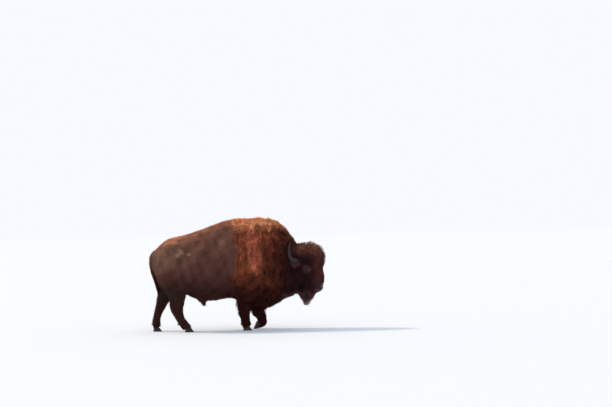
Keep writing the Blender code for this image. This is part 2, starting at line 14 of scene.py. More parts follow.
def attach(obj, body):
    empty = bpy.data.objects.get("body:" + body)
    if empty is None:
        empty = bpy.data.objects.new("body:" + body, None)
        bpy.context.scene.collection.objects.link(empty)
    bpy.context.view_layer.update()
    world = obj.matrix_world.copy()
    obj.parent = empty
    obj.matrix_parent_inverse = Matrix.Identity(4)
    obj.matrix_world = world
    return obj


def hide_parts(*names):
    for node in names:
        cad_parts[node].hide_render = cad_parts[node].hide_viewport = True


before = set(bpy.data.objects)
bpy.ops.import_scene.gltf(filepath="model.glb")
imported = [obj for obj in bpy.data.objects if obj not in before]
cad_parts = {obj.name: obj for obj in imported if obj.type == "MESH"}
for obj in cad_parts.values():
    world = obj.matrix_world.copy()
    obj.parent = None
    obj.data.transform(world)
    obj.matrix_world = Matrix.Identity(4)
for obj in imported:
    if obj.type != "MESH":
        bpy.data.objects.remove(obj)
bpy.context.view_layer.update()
bpy.ops.object.select_all(action="DESELECT")

# %% [markdown]
# ## The studio
# A model this dark needs a pale, even room. The floor is one big plane, toned so that in this light
# it is as bright as the world behind it and no horizon shows. The world gives a soft
# light from all round, and a soft, warm sun stands behind the animal's rump, as low as in winter,
# so that his back and hump are edged with light. The camera stands 27 m off with a long lens, as a
# person with binoculars would, so the legs on the far side look as tall as the near ones.

# %% Floor, light and camera
IMAGE_WIDTH = 612
SKETCH_ORIGIN = Vector((-0.0121, 0.0, 0.0))  # the point of the floor that the view was laid out from
CAMERA_DISTANCE = 27.0
CAMERA_HEIGHT = 1.7
BODY_YAW = math.radians(6)  # how far the animal's head end is turned away
CAMERA_ROLL = math.radians(-1.1)
PIXELS_PER_METRE = 62.2  # at the animal's middle
PAN = 0.0419  # rise of the line of sight to the right, for each metre forward
TILT = 0.0114  # and upwards


def settle(node, values):
    """Sets the values of a node's named sockets."""
    for label, value in values.items():
        node.inputs[label].default_value = value


def flat_material(name, colour, roughness):
    made = bpy.data.materials.new(name)
    made.use_nodes = True
    shader = made.node_tree.nodes["Principled BSDF"]
    settle(shader, {"Base Color": (*colour, 1), "Roughness": roughness})
    return made


def studio():
    bpy.ops.mesh.primitive_plane_add(size=400, location=(0, 0, 0))
    floor = bpy.context.active_object
    floor.name = "floor"
    floor.data.materials.append(flat_material("pale_floor", (0.64, 0.695, 0.76), 0.9))
    world = bpy.data.worlds.new("soft_room")
    world.use_nodes = True
    settle(world.node_tree.nodes["Background"], {"Color": (0.93, 0.96, 1.0, 1), "Strength": 1.0})
    bpy.context.scene.world = world


def low_sun(place, strength, colour, softness):
    bpy.ops.object.light_add(type="SUN", location=place)
    made = bpy.context.active_object
    made.name = "low_sun"
    made.data.energy = strength
    made.data.color = colour
    made.data.angle = softness
    made.rotation_mode = "QUATERNION"
    made.rotation_quaternion = (-Vector(place)).to_track_quat("-Z", "Y")


def camera():
    forward = Vector((math.sin(BODY_YAW), math.cos(BODY_YAW), 0))
    right = Vector((math.cos(BODY_YAW), -math.sin(BODY_YAW), 0))
    sight = forward + right * PAN + Vector((0, 0, TILT))
    bpy.ops.object.camera_add(
        location=SKETCH_ORIGIN - forward * CAMERA_DISTANCE + Vector((0, 0, CAMERA_HEIGHT))
    )
    made = bpy.context.active_object
    made.rotation_mode = "QUATERNION"
    roll = Matrix.Rotation(CAMERA_ROLL, 4, "Z").to_quaternion()
    made.rotation_quaternion = sight.to_track_quat("-Z", "Y") @ roll
    made.data.sensor_width = 36
    made.data.lens = PIXELS_PER_METRE * CAMERA_DISTANCE / IMAGE_WIDTH * made.data.sensor_width
    made.data.clip_end = 500
    bpy.context.scene.camera = made


studio()
low_sun((-7.5, 4.0, 7.0), 2.6, (1.0, 0.80, 0.60), math.radians(9))
camera()
bpy.context.scene.view_settings.view_transform = "Standard"
print("lens", round(bpy.context.scene.camera.data.lens, 1), "mm")

# %% [markdown]
# ## One skin under the coat
# A real hide has no seams where a leg meets the trunk, so the skin is made in one piece. The plain
# solids of flesh are copied and joined, the sockets of the horns and eyes are plugged, and a voxel
# remesh melts all of it into one closed surface. Joining by Booleans would be exact, but would
# leave a crease at every joint, which a remesh smooths away.

# %% Copies of the solids of flesh
HARD_PARTS = ("horn", "hoof", "dewclaw", "eye")
VOXEL = 0.015
WELD = 0.0001


def activate(piece):
    bpy.ops.object.select_all(action="DESELECT")
    piece.select_set(True)
    bpy.context.view_layer.objects.active = piece


def edit_all(piece):
    activate(piece)
    bpy.ops.object.mode_set(mode="EDIT")
    bpy.ops.mesh.select_all(action="SELECT")


def merged_copy(node, name):
    """A copy of a node of the frame, with its loose triangles welded into one surface."""
    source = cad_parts[node]
    made = bpy.data.objects.new(name, source.data.copy())
    bpy.context.scene.collection.objects.link(made)
    made.data.materials.clear()
    edit_all(made)
    bpy.ops.mesh.remove_doubles(threshold=WELD)
    bpy.ops.mesh.customdata_custom_splitnormals_clear()
    bpy.ops.object.mode_set(mode="OBJECT")
    return made


def points_of(piece):
    co = np.zeros(len(piece.data.vertices) * 3)
    piece.data.vertices.foreach_get("co", co)
    return co.reshape(-1, 3)


def put_points(piece, points):
    piece.data.vertices.foreach_set("co", points.ravel())
    piece.data.update()


def fatten(piece, amount):
    """Moves each point out along its normal, so that solids that only touch come to overlap."""
    activate(piece)
    grow = piece.modifiers.new("grow", "DISPLACE")
    grow.mid_level = 0
    grow.strength = amount
    bpy.ops.object.modifier_apply(modifier=grow.name)


OVERLAP = 0.004
flesh_nodes = sorted(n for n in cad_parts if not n.startswith(HARD_PARTS))
flesh = [merged_copy(n, "flesh_" + n) for n in flesh_nodes]
for piece in flesh:
    fatten(piece, OVERLAP)
print(len(flesh), "solids of flesh")

# %% [markdown]
# ## The head's own directions
# The head is turned a little to the animal's right. Places on it are easier to give as forward,
# outward to the left, and height, so two helpers turn such places into the model's and back.

# %% Head directions
HEAD_TURN = math.radians(-22)
NECK_X = 0.8379  # where the line of the head meets the body's own


def on_head(forward, out, height):
    x = NECK_X + forward * math.cos(HEAD_TURN) - out * math.sin(HEAD_TURN)
    y = forward * math.sin(HEAD_TURN) + out * math.cos(HEAD_TURN)
    return Vector((x, y, height))


def head_places(points):
    """How far forward and how far out to the left each point is, seen from the head."""
    along = points[:, 0] - NECK_X
    forward = along * math.cos(HEAD_TURN) + points[:, 1] * math.sin(HEAD_TURN)
    out = points[:, 1] * math.cos(HEAD_TURN) - along * math.sin(HEAD_TURN)
    return forward, out


def head_vector(forward, out, up):
    return np.array(on_head(forward, out, up) - on_head(0, 0, 0))


# %% Plugs for the sockets
EYE_FORWARD = 0.330
EYE_OUT = 0.166
EYE_HEIGHT = 0.974
EYE_RADIUS = 0.020
HORN_CUT = (0.165, 0.158, 1.100)  # on the horn's middle line, where the head's hair ends
SIDES = {"left": 1, "right": -1}


def plug(node, place, outward):
    """The inner end of a hard part, which fills its socket in the head."""
    made = merged_copy(node, "plug_" + node)
    edit_all(made)
    bpy.ops.mesh.bisect(plane_co=place, plane_no=outward, use_fill=True, clear_outer=True)
    bpy.ops.object.mode_set(mode="OBJECT")
    return made


for side, sign in SIDES.items():
    outward = Vector(head_vector(0, sign, 0))
    eye_place = on_head(EYE_FORWARD, sign * EYE_OUT, EYE_HEIGHT)
    horn_place = on_head(HORN_CUT[0], sign * HORN_CUT[1], HORN_CUT[2])
    flesh.append(plug("eye_" + side, eye_place, outward))
    flesh.append(plug("horn_" + side, horn_place, outward))

# %% [markdown]
# ## Knowing which part of the body a point is on
# Hair length, lie and colour change from part to part. A search tree over the joined solids tells
# for any point which solid is nearest, so each rule can be given by the part's own name.

# %% One search tree over the solids, then the remesh
from mathutils.bvhtree import BVHTree


def search_tree(pieces):
    corners = []
    faces = []
    owners = []
    for number, piece in enumerate(pieces):
        start = len(corners)
        corners.extend(v.co.copy() for v in piece.data.vertices)
        faces.extend([start + i for i in p.vertices] for p in piece.data.polygons)
        owners.extend([number] * len(piece.data.polygons))
    return BVHTree.FromPolygons(corners, faces), np.array(owners)


outline, outline_owner = search_tree(flesh[: len(flesh_nodes)])


def melt(pieces, name, voxel):
    """Joins the pieces and remeshes them into one closed surface."""
    activate(pieces[0])
    for piece in pieces:
        piece.select_set(True)
    bpy.ops.object.join()
    made = bpy.context.active_object
    made.name = name
    made.data.name = name
    made.data.remesh_voxel_size = voxel
    made.data.remesh_voxel_adaptivity = 0
    bpy.ops.object.voxel_remesh()
    return made


def keep_largest(piece):
    """Deletes closed hollows and crumbs that a remesh can leave."""
    edit_all(piece)
    bpy.ops.mesh.separate(type="LOOSE")
    bpy.ops.object.mode_set(mode="OBJECT")
    parts = sorted(bpy.context.selected_objects, key=lambda o: len(o.data.vertices))
    for crumb in parts[:-1]:
        bpy.data.objects.remove(crumb)
    activate(parts[-1])
    return parts[-1], len(parts) - 1


skin, crumbs = keep_largest(melt(flesh, "skin", VOXEL))
skin.name = "skin"
skin.data.name = "skin"
print("skin:", len(skin.data.vertices), "points,", crumbs, "crumbs deleted")

# %% [markdown]
# ## Fields on the skin
# How deep the coat is, how long its locks are and where they point are numbers given at each point
# of the skin. Each number starts as a rule for a part of the body, and is then averaged over the
# neighbouring points, round after round, so that one kind of coat passes softly into the next.

# %% Helpers for fields
def ramp(value, start, end):
    """0 before start, 1 after end, and a smooth rise between them."""
    share = np.clip((value - start) / (end - start), 0, 1)
    return share * share * (3 - 2 * share)


def bump(value, middle, width):
    """1 at the middle, falling smoothly to nothing about two widths away."""
    return np.exp(-(((value - middle) / width) ** 2))


def mix(first, second, share):
    """Goes from first to second as share goes from 0 to 1, row by row."""
    if np.ndim(first) > 0 and np.ndim(second) > 0 and np.ndim(share) < max(np.ndim(first), np.ndim(second)):
        share = np.asarray(share)[..., None]
    return first + (second - first) * share


def unit(vectors):
    return vectors / np.maximum(np.linalg.norm(vectors, axis=-1, keepdims=True), 1e-9)


def dot(first, second):
    return (first * second).sum(-1, keepdims=True)


def ripple(points, size, seed):
    """Smooth noise, mostly from -1 to 1, whose bumps are about this far apart."""
    rng = np.random.default_rng(seed)
    waves = unit(rng.normal(size=(14, 3))) * 2 * math.pi / (size * rng.uniform(0.8, 2.2, (14, 1)))
    return np.sin(points @ waves.T + rng.uniform(0, 2 * math.pi, 14)).sum(1) / 3.2


class Surface:
    """A piece's points, normals and edges as arrays."""

    def __init__(self, piece):
        mesh = piece.data
        self.points = points_of(piece)
        self.normals = np.zeros(len(mesh.vertices) * 3)
        mesh.vertex_normals.foreach_get("vector", self.normals)
        self.normals = self.normals.reshape(-1, 3)
        self.edges = np.zeros(len(mesh.edges) * 2, int)
        mesh.edges.foreach_get("vertices", self.edges)
        self.edges = self.edges.reshape(-1, 2)
        ends = np.concatenate([self.edges[:, 0], self.edges[:, 1]])
        self.around = np.bincount(ends, minlength=len(self.points))

    def spread(self, values, rounds):
        """Averages each point's value with its neighbours', round after round."""
        one, other = self.edges.T
        columns = np.array(values, float).reshape(len(self.points), -1)
        for _ in range(rounds):
            for c in range(columns.shape[1]):
                column = columns[:, c]
                total = np.bincount(one, column[other], len(column))
                total += np.bincount(other, column[one], len(column))
                columns[:, c] = (column + total) / (1 + self.around)
        return columns.reshape(np.shape(values))


# %% [markdown]
# ## How deep the coat is
# The locks on the hump and neck of a bull in winter are as long as a hand, and the cap of hair
# between the horns is deeper still, while the face and the shins are nearly smooth. The skin is
# moved in by that depth, but never by more than a part of the body's own thickness there, so thin
# parts such as the ears and tail keep their shape.

# %% Which part each point is on
def shares_of_parts(surface):
    """For each solid of flesh, how much each point of the surface belongs to it."""
    owner = [outline_owner[outline.find_nearest(Vector(p))[2]] for p in surface.points]
    return surface.spread(np.eye(len(flesh_nodes))[owner], 8)


class Places:
    """Where points are on the body, in the words that the rules on the coat use."""

    def __init__(self, points, normals, parts):
        self.points = points
        self.normals = normals
        self.x, self.y, self.z = points.T
        self.forward, self.out = head_places(points)
        self.parts = parts
        edge = -0.05 - 0.09 * bump(self.z, 0.78, 0.13) + 0.022 * ripple(points, 0.16, 11)
        soft = 0.03 + 0.10 * ramp(self.z, 1.35, 1.65)
        self.cape = ramp(self.x, edge - soft, edge + soft)
        self.head = self.part("head", "ear", "beard")
        self.crown = ramp(self.z, 1.02, 1.14) * ramp(self.forward, 0.02, 0.22)
        self.cheek = (1 - ramp(self.forward, 0.28, 0.44)) * (1 - ramp(self.z, 1.04, 1.12))
        self.upper_arm = self.part("foreleg") * ramp(self.z, 0.22, 0.27)
        self.lower_leg = self.part("foreleg") * (1 - ramp(self.z, 0.22, 0.27))
        self.lower_leg += self.part("hindleg") * (1 - ramp(self.z, 0.42, 0.60))
        self.muzzle = self.part("head") * ramp(self.forward, 0.40, 0.50) * (1 - ramp(self.z, 0.86, 0.98))
        base = np.stack([self.forward - 0.150, np.abs(self.out) - 0.185, self.z - 1.095], 1)
        self.near_horn = 1 - ramp(np.linalg.norm(base, axis=1), 0.06, 0.12)
        eye = np.stack([self.forward - EYE_FORWARD, np.abs(self.out) - EYE_OUT, self.z - EYE_HEIGHT], 1)
        self.from_eye = np.linalg.norm(eye, axis=1)
        off_pad = np.hypot(np.abs(self.out) / 0.082, (self.z - 0.690) / 0.050)
        self.nose_pad = self.part("head") * ramp(self.forward, 0.48, 0.51) * (1 - ramp(off_pad, 0.85, 1.1))

    def part(self, *beginnings):
        wanted = [i for i, n in enumerate(flesh_nodes) if n.startswith(beginnings)]
        return self.parts[:, wanted].sum(1)


surface = Surface(skin)
places = Places(surface.points, surface.normals, shares_of_parts(surface))
print("parts:", ", ".join(flesh_nodes))


def tree_of(piece):
    return BVHTree.FromPolygons(
        [v.co.copy() for v in piece.data.vertices], [list(p.vertices) for p in piece.data.polygons]
    )


coat_top = tree_of(skin)  # the outer face of the coat, just over the solids


def outside(points):
    """How far points lie outside the coat's outer face, and the way out. Inside is negative."""
    found = [coat_top.find_nearest(Vector(p)) for p in points]
    near = np.array([f[0] for f in found])
    way_out = np.array([f[1] for f in found])
    return (dot(points - near, way_out) - OVERLAP)[:, 0], way_out


# %% Depth of the coat, and the skin moved in by it
def coat_depth(at):
    depth = mix(0.012, 0.034, at.cape)
    depth = mix(depth, 0.040, at.part("neck"))
    depth = mix(depth, 0.024, at.part("trunk") * (1 - at.cape) * (1 - ramp(at.z, 0.56, 0.66)))
    on_face = 0.008 + 0.034 * at.crown + 0.026 * at.cheek
    on_face = mix(0.012, on_face, ramp(at.from_eye, 0.035, 0.09))
    depth = mix(depth, on_face, at.part("head"))
    depth = mix(depth, 0.060, at.part("beard"))
    depth = mix(depth, 0.030, at.upper_arm)
    depth = mix(depth, 0.006, at.lower_leg)
    for part, own in (("ear", 0.004), ("tail", 0.008), ("scrotum", 0.006), ("sheath", 0.02)):
        depth = mix(depth, own, at.part(part))
    return depth + OVERLAP


THINNEST_SHARE = 0.36  # of the body's thickness, that the coat may take


def inner_thickness(surface):
    """How far it is from each point straight in to the other side of the body."""
    found = np.full(len(surface.points), 1.0)
    for i, (point, normal) in enumerate(zip(surface.points, surface.normals)):
        inward = Vector(-normal)
        hit = coat_top.ray_cast(Vector(point) + inward * VOXEL * 0.5, inward)
        if hit[0] is not None:
            found[i] = hit[3] + VOXEL * 0.5
    return found


thickness = surface.spread(inner_thickness(surface), 2)
depth = np.minimum(coat_depth(places), THINNEST_SHARE * thickness)
depth = surface.spread(depth, 5)
moved = surface.points - surface.normals * depth[:, None]
put_points(skin, surface.spread(moved, 2))
print("coat depth from", round(depth.min(), 3), "to", round(depth.max(), 3), "m")

# %% [markdown]
# ## Lids, nostrils and lips
# The remesh is too coarse for an eyelid, so the faces round the eyes and over the muzzle are cut
# finer first. The forms are then raised and sunk along the skin's own normals, by rules in the
# head's directions: lids with a fold above, a brow, nostrils with a rim, and the line of the mouth.

# %% Finer faces on the face
NOSTRIL = (0.058, 0.705)  # out and height
MOUTH_HEIGHT = 0.628


def refine(piece, wanted, cuts):
    """Cuts the faces finer whose middles are wanted."""
    activate(piece)
    bpy.ops.object.mode_set(mode="EDIT")
    bpy.ops.mesh.select_mode(type="FACE")
    bpy.ops.mesh.select_all(action="DESELECT")
    bpy.ops.object.mode_set(mode="OBJECT")
    piece.data.polygons.foreach_set("select", wanted)
    bpy.ops.object.mode_set(mode="EDIT")
    bpy.ops.mesh.subdivide(number_cuts=cuts)
    bpy.ops.object.mode_set(mode="OBJECT")


middles = np.zeros(len(skin.data.polygons) * 3)
skin.data.polygons.foreach_get("center", middles)
middles = middles.reshape(-1, 3)
forward, out = head_places(middles)
to_eye = np.linalg.norm(
    np.stack([forward - EYE_FORWARD, np.abs(out) - EYE_OUT, middles[:, 2] - EYE_HEIGHT], 1), axis=1
)
on_muzzle = (forward > 0.40) & (np.abs(middles[:, 2] - 0.67) < 0.12)
refine(skin, (to_eye < 0.085) | on_muzzle, 3)
print("skin is now", len(skin.data.vertices), "points")


# %% The forms of the face
def face_relief(at):
    """How far the skin is raised, in metres."""
    ahead = at.forward - EYE_FORWARD
    over = at.z - EYE_HEIGHT
    side = ramp(np.abs(at.out), 0.09, 0.12)
    rim = np.hypot(ahead / 1.35, over / 0.85)
    upper = ramp(over, -0.004, 0.004)
    eye = -0.020 * (1 - ramp(rim, 0.013, 0.021))
    eye += 0.007 * bump(rim, 0.026, 0.0055)
    eye -= mix(0.003, 0.005, upper) * bump(rim, 0.038, 0.005)
    eye += 0.003 * bump(rim, 0.049, 0.006)
    eye += 0.010 * np.exp(-((ahead / 0.045) ** 2) - (((over - 0.058) / 0.018) ** 2))
    eye -= 0.005 * np.exp(-(((ahead - 0.042) / 0.018) ** 2) - (((over + 0.016) / 0.008) ** 2))
    off = np.hypot((np.abs(at.out) - NOSTRIL[0]) / 0.021, (at.z - NOSTRIL[1]) / 0.013)
    front = ramp(at.forward, 0.44, 0.48)
    nose = 0.006 * bump(off, 1.7, 0.5) - 0.024 * np.exp(-(off**2))
    nose -= 0.003 * bump(at.out, 0, 0.006) * (1 - ramp(at.z, 0.70, 0.72))
    line = at.z - MOUTH_HEIGHT - 0.12 * (0.54 - at.forward)
    mouth = -0.009 * bump(line, 0, 0.006) + 0.005 * bump(line, 0.020, 0.011)
    mouth += 0.006 * bump(line, -0.020, 0.011)
    folds = 0.0015 * ripple(at.points * np.array([1, 1, 2.2]), 0.022, 61)
    relief = eye * side + (nose + folds) * front + mouth * ramp(at.forward, 0.36, 0.42)
    return relief * at.part("head")


surface = Surface(skin)
places = Places(surface.points, surface.normals, shares_of_parts(surface))
relief = face_relief(places)
put_points(skin, surface.points + surface.normals * relief[:, None])
print("relief from", round(relief.min(), 4), "to", round(relief.max(), 4), "m")

# %% [markdown]
# ## An unwrap of the skin
# The skin's own unwrap gives every place on the animal its place on a flat sheet. The locks of hair
# take their spot on the same sheet from the skin under them, so a painted sheet fits both.

# %% Unwrap
SHEET = "OFBake"

edit_all(skin)
bpy.ops.uv.smart_project(angle_limit=math.radians(66), island_margin=0.002)
bpy.ops.object.mode_set(mode="OBJECT")
skin.data.uv_layers.active.name = SHEET
bpy.ops.object.shade_smooth()
print("unwrap has", len(skin.data.uv_layers), "sheet")

# %% [markdown]
# ## The coat's length, lie and colour
# The hair of the rump and flanks is short and lies back and down. The cape over the hump and
# shoulders is long and shaggy, the cap between the horns falls forward, and the fore legs wear
# chaps that end in a ragged hem. Each of these is a rule on where a point is.

# %% How long and how wide the locks are
def lock_length(at):
    length = mix(0.034, 0.092, at.cape)
    length = mix(length, 0.064, at.cape * ramp(at.z, 1.45, 1.70))
    length = mix(length, 0.100, at.part("neck") * (1 - ramp(at.z, 1.25, 1.45)))
    length = mix(length, 0.062, at.part("trunk") * (1 - at.cape) * (1 - ramp(at.z, 0.54, 0.68)))
    on_face = 0.016 + 0.060 * at.crown + 0.060 * at.cheek + 0.02 * ramp(at.z, 0.9, 1.1)
    on_face = mix(0.014, on_face, ramp(at.from_eye, 0.04, 0.10))
    length = mix(length, on_face, at.part("head"))
    length = mix(length, 0.010, at.muzzle)
    length = mix(length, 0.130, at.part("beard"))
    length = mix(length, 0.085, at.upper_arm)
    length = mix(length, 0.018, at.lower_leg)
    for part, own in (("ear", 0.022), ("tail", 0.030), ("tail_tuft", 0.16), ("scrotum", 0.016)):
        length = mix(length, own, at.part(part))
    length = mix(length, 0.050, at.part("sheath"))
    return length * (1 + 0.22 * ripple(at.points, 0.07, 21))


def lock_width(length):
    """Short hair stands in fine locks and long hair in thicker ones."""
    return 0.0040 + 0.072 * np.clip(length, 0.01, 0.11)


def lie(at):
    """The direction in which the hair points, along the skin."""
    forwards = head_vector(1, 0, 0)
    outwards = head_vector(0, 1, 0) * np.sign(at.out)[:, None]
    down = np.array([0.0, 0.0, -1.0])
    way = mix(np.array([-1.0, 0.0, -0.50])[None], np.array([-0.50, 0.0, -1.0])[None], at.cape)
    way = mix(way, np.array([-0.28, 0.0, -1.0])[None], at.part("neck"))
    legs = np.maximum(at.part("foreleg"), at.part("hindleg") * (1 - ramp(at.z, 0.7, 1.0)))
    way = mix(way, np.array([-0.15, 0.0, -1.0])[None], legs)
    way = mix(way, (down - 0.4 * forwards)[None], at.part("head"))
    falling = 0.9 * forwards + 0.35 * outwards + down * 0.55
    way = mix(way, falling, at.part("head") * at.crown)
    way = mix(way, outwards + 0.35 * down, at.part("head") * at.near_horn)
    way = mix(way, (down + 0.1 * forwards)[None], at.muzzle)
    way = mix(way, (outwards - 0.6 * forwards + 0.3 * down), at.part("ear"))
    way = mix(way, down[None], at.part("tail", "beard"))
    sway = 0.30 * np.stack([ripple(at.points, 0.11, s) for s in (31, 32, 33)], 1)
    sway += 0.22 * np.stack([ripple(at.points, 0.045, s) for s in (34, 35, 36)], 1)
    way = unit(way) + sway * mix(0.35, 1.0, np.maximum(at.cape, at.part("head", "foreleg")))[:, None]
    flat = way - at.normals * dot(way, at.normals)
    back = np.array([[-1.0, 0.0, 0.0]])
    flat += 0.15 * (back - at.normals * dot(back, at.normals))
    return unit(flat)


# %% [markdown]
# ## The markings
# Skin and hair carry the same colours, mixed from a few named ones by where a point is: greyish
# brown on the flanks that darkens to the belly, rust on the cape, near black on the head, chaps
# and legs, and a tawny back and an ochre hump. The back and hump are partly hair bleached by years
# of sun and partly painted sunlight, lighter where the skin faces up. A painted grey sheen lies on
# the dark head round the eyes and below the horns.

# %% Colours of the coat
BLEACHED_AND_SUNLIT_BACK = (0.660, 0.300, 0.170)
BLEACHED_AND_SUNLIT_HUMP = (0.980, 0.430, 0.210)
UPPER_BROWN = (0.245, 0.110, 0.078)
RUMP_BROWN = (0.260, 0.136, 0.094)
FLANK_BROWN = (0.168, 0.067, 0.052)
BELLY_BROWN = (0.066, 0.023, 0.020)
THIGH_BROWN = (0.050, 0.027, 0.023)
CAPE_RUST = (0.285, 0.074, 0.035)
CAPE_LOW = (0.060, 0.014, 0.009)
NECK_BROWN = (0.115, 0.028, 0.018)
HEAD_BLACK = (0.033, 0.011, 0.014)
FACE_RED = (0.120, 0.034, 0.031)
FORELOCK_BROWN = (0.270, 0.096, 0.066)
LEG_BLACK = (0.040, 0.0070, 0.0060)
SHANK_BROWN = (0.050, 0.016, 0.012)
BELLY_FRINGE = (0.085, 0.025, 0.020)
PALE_TAN = (0.420, 0.230, 0.160)
BEARD_BROWN = (0.150, 0.075, 0.075)
BEARD_TIP = (0.620, 0.430, 0.330)
MUZZLE_GREY = (0.090, 0.052, 0.058)
LIP_FROST = (0.180, 0.125, 0.135)
PAINTED_SHEEN_GREY = (0.210, 0.078, 0.080)
HIP_PLACE = (-0.93, 1.265)  # x and height of the worn, pale patches on the right hip
HIP_PATCHES = ((0.0, 0.03, 0.046), (0.035, -0.005, 0.034), (-0.035, -0.045, 0.040), (0.14, -0.03, 0.026))


def colour(values):
    return np.array(values)[None]


def streaks(at):
    """Upright streaks, lighter and darker, as in hanging hair."""
    drawn_out = at.points * np.array([1.0, 1.0, 0.22])
    return 0.6 * ripple(drawn_out, 0.050, 41) + 0.4 * ripple(drawn_out, 0.022, 42)


def markings(at):
    # Painted sunlight: skin that faces up is given lighter colours, as if the low sun lit it.
    sunlit_top = ramp(at.normals[:, 2], 0.48, 0.97)
    tint = mix(colour(FLANK_BROWN), colour(UPPER_BROWN), ramp(at.z, 1.05, 1.40))
    tint = mix(tint, colour(RUMP_BROWN), ramp(-at.x, 0.45, 1.15) * ramp(at.z, 0.85, 1.15))
    tint = mix(colour(BELLY_BROWN), tint, ramp(at.z, 0.60, 1.08))
    tint = mix(tint, colour(THIGH_BROWN), at.part("hindleg") * (1 - ramp(at.z, 0.6, 1.0)))
    # The tawny back is partly sun-bleached hair and partly painted sunlight on the upper side of the back.
    sunlit_ridge = sunlit_top * ramp(at.z, 1.0, 1.3) * mix(0.6, 0.9, ramp(-at.x, 0.5, 1.0))
    tint = mix(tint, colour(BLEACHED_AND_SUNLIT_BACK), sunlit_ridge)
    cape = mix(colour(CAPE_LOW), colour(CAPE_RUST), ramp(at.z, 0.62, 1.12))
    band = bump(at.x, 0.24, 0.11) * ramp(at.z, 0.88, 1.10)
    cape = cape * (1 + 0.90 * band[:, None] * np.array([[1.0, 1.15, 1.3]]))
    neck = ramp(at.x, 0.28, 0.44) * (1 - ramp(at.z, 1.25, 1.6)) + ramp(at.x, 0.55, 0.70)
    cape = mix(cape, colour(NECK_BROWN), np.clip(neck, 0, 1) * ramp(at.z, 0.62, 0.95))
    cape = cape * (1 + 0.42 * streaks(at))[:, None]
    # The ochre high on the hump is partly sun-bleached hair and partly painted sunlight, stronger where the
    # skin faces up.
    cape = mix(cape, colour(BLEACHED_AND_SUNLIT_HUMP), np.clip(ramp(at.z, 1.56, 1.76) + 0.7 * sunlit_top, 0, 1))
    tint = mix(tint, cape, at.cape)
    tint = mix(tint, colour(BELLY_FRINGE), at.part("trunk", "sheath") * (1 - ramp(at.z, 0.50, 0.60)))
    dark = ramp(at.x, 0.50, 0.72) * (1 - ramp(at.z, 1.15, 1.42))
    dark = np.maximum(dark, ramp(at.x, 0.22, 0.34) * (1 - ramp(at.z, 0.52, 0.70)))
    tint = mix(tint, colour(LEG_BLACK), at.cape * dark * 0.85)
    head = mix(colour(HEAD_BLACK), colour(FACE_RED), ramp(at.forward, 0.36, 0.52))
    head = mix(head, colour(FORELOCK_BROWN), at.crown * ramp(at.z, 1.12, 1.36))
    # Painted sheen: a grey highlight is painted on the dark hair just below the horn's base.
    head = mix(head, colour(PAINTED_SHEEN_GREY), 0.9 * at.near_horn * (1 - ramp(at.z, 1.08, 1.14)))
    # Painted sheen round the eye: the grey highlight fades out within about 10 cm of it.
    sheen = 0.55 * (1 - ramp(at.from_eye + 0.02 * ripple(at.points, 0.05, 45), 0.02, 0.10))
    head = mix(head, colour(PAINTED_SHEEN_GREY), sheen)
    tint = mix(tint, head, at.part("head", "ear"))
    fade = ramp(at.z + 0.03 * ripple(at.points, 0.05, 46), 0.37, 0.48)
    beard = mix(colour(BEARD_TIP), colour(BEARD_BROWN), fade)
    tint = mix(tint, beard, at.part("beard"))
    tint = mix(tint, colour(LEG_BLACK), np.clip(at.part("foreleg"), 0, 1))
    tint = mix(tint, colour(SHANK_BROWN), at.part("hindleg") * at.lower_leg)
    tint = mix(tint, colour(LEG_BLACK), at.part("tail") * (1 - ramp(at.z, 0.95, 1.2)))
    low_face = at.part("head") * (1 - ramp(at.z, 0.74, 0.84))
    tint = mix(tint, colour(MUZZLE_GREY), low_face * ramp(at.forward, 0.42, 0.52))
    frost = low_face * bump(at.z, 0.622, 0.020) * ramp(at.forward, 0.40, 0.48)
    tint = mix(tint, colour(LIP_FROST), 0.8 * frost)
    for shift, rise, size in HIP_PATCHES:
        off = np.hypot(at.x - HIP_PLACE[0] - shift, at.z - HIP_PLACE[1] - rise) / size
        patch = (1 - ramp(off + 0.30 * ripple(at.points, 0.05, 43), 0.6, 1.2)) * (at.y < 0)
        tint = mix(tint, colour(PALE_TAN), patch)
    return np.clip(tint * (1 + 0.15 * ripple(at.points, 0.09, 44))[:, None], 0.001, 1)


# %% Fields on the finished skin
surface = Surface(skin)
places = Places(surface.points, surface.normals, places.parts)
field = {
    "length": lock_length(places),
    "rise": np.maximum(surface.spread(-outside(surface.points)[0], 2), 0.002),
    "lie": lie(places),
    "tint": markings(places),
    "normal": surface.normals,
    "point": surface.points,
    "shaggy": np.clip(places.cape + places.head + places.upper_arm - places.muzzle, 0, 1),
    "ragged": 0.22 + 0.45 * np.clip(places.part("beard") + places.upper_arm, 0, 1),
}
for name, values in field.items():
    print(name, np.round(values.min(0), 3), np.round(values.max(0), 3))


def paint(piece, colours):
    """Stores the markings on a mesh, as a colour for each of its points."""
    layer = piece.data.color_attributes.new(name="markings", type="FLOAT_COLOR", domain="POINT")
    four = np.ones((len(colours), 4))
    four[:, :3] = colours
    layer.data.foreach_set("color", four.ravel())


paint(skin, field["tint"])

# %% [markdown]
# ## Locks of hair
# Hair particles and hair curves can't leave Blender as a plain mesh, so each lock is a thin, closed
# spike of three sides that bends. Thousands of spikes are worked out at once as arrays and written
# into one mesh. Neighbours share a clump: their tips lean to one point, and they share a shade.

# %% Roots of the locks
def triangles_of(piece):
    mesh = piece.data
    mesh.calc_loop_triangles()
    corners = np.zeros(len(mesh.loop_triangles) * 3, int)
    loops = np.zeros(len(mesh.loop_triangles) * 3, int)
    mesh.loop_triangles.foreach_get("vertices", corners)
    mesh.loop_triangles.foreach_get("loops", loops)
    sheet = np.zeros(len(mesh.loops) * 2)
    mesh.uv_layers[SHEET].data.foreach_get("uv", sheet)
    return corners.reshape(-1, 3), sheet.reshape(-1, 2)[loops.reshape(-1, 3)]


skin_triangles, skin_sheet = triangles_of(skin)
corner = surface.points[skin_triangles]
triangle_area = np.linalg.norm(np.cross(corner[:, 1] - corner[:, 0], corner[:, 2] - corner[:, 0]), axis=1) / 2
print("skin:", len(skin_triangles), "triangles,", round(triangle_area.sum(), 2), "square metres")


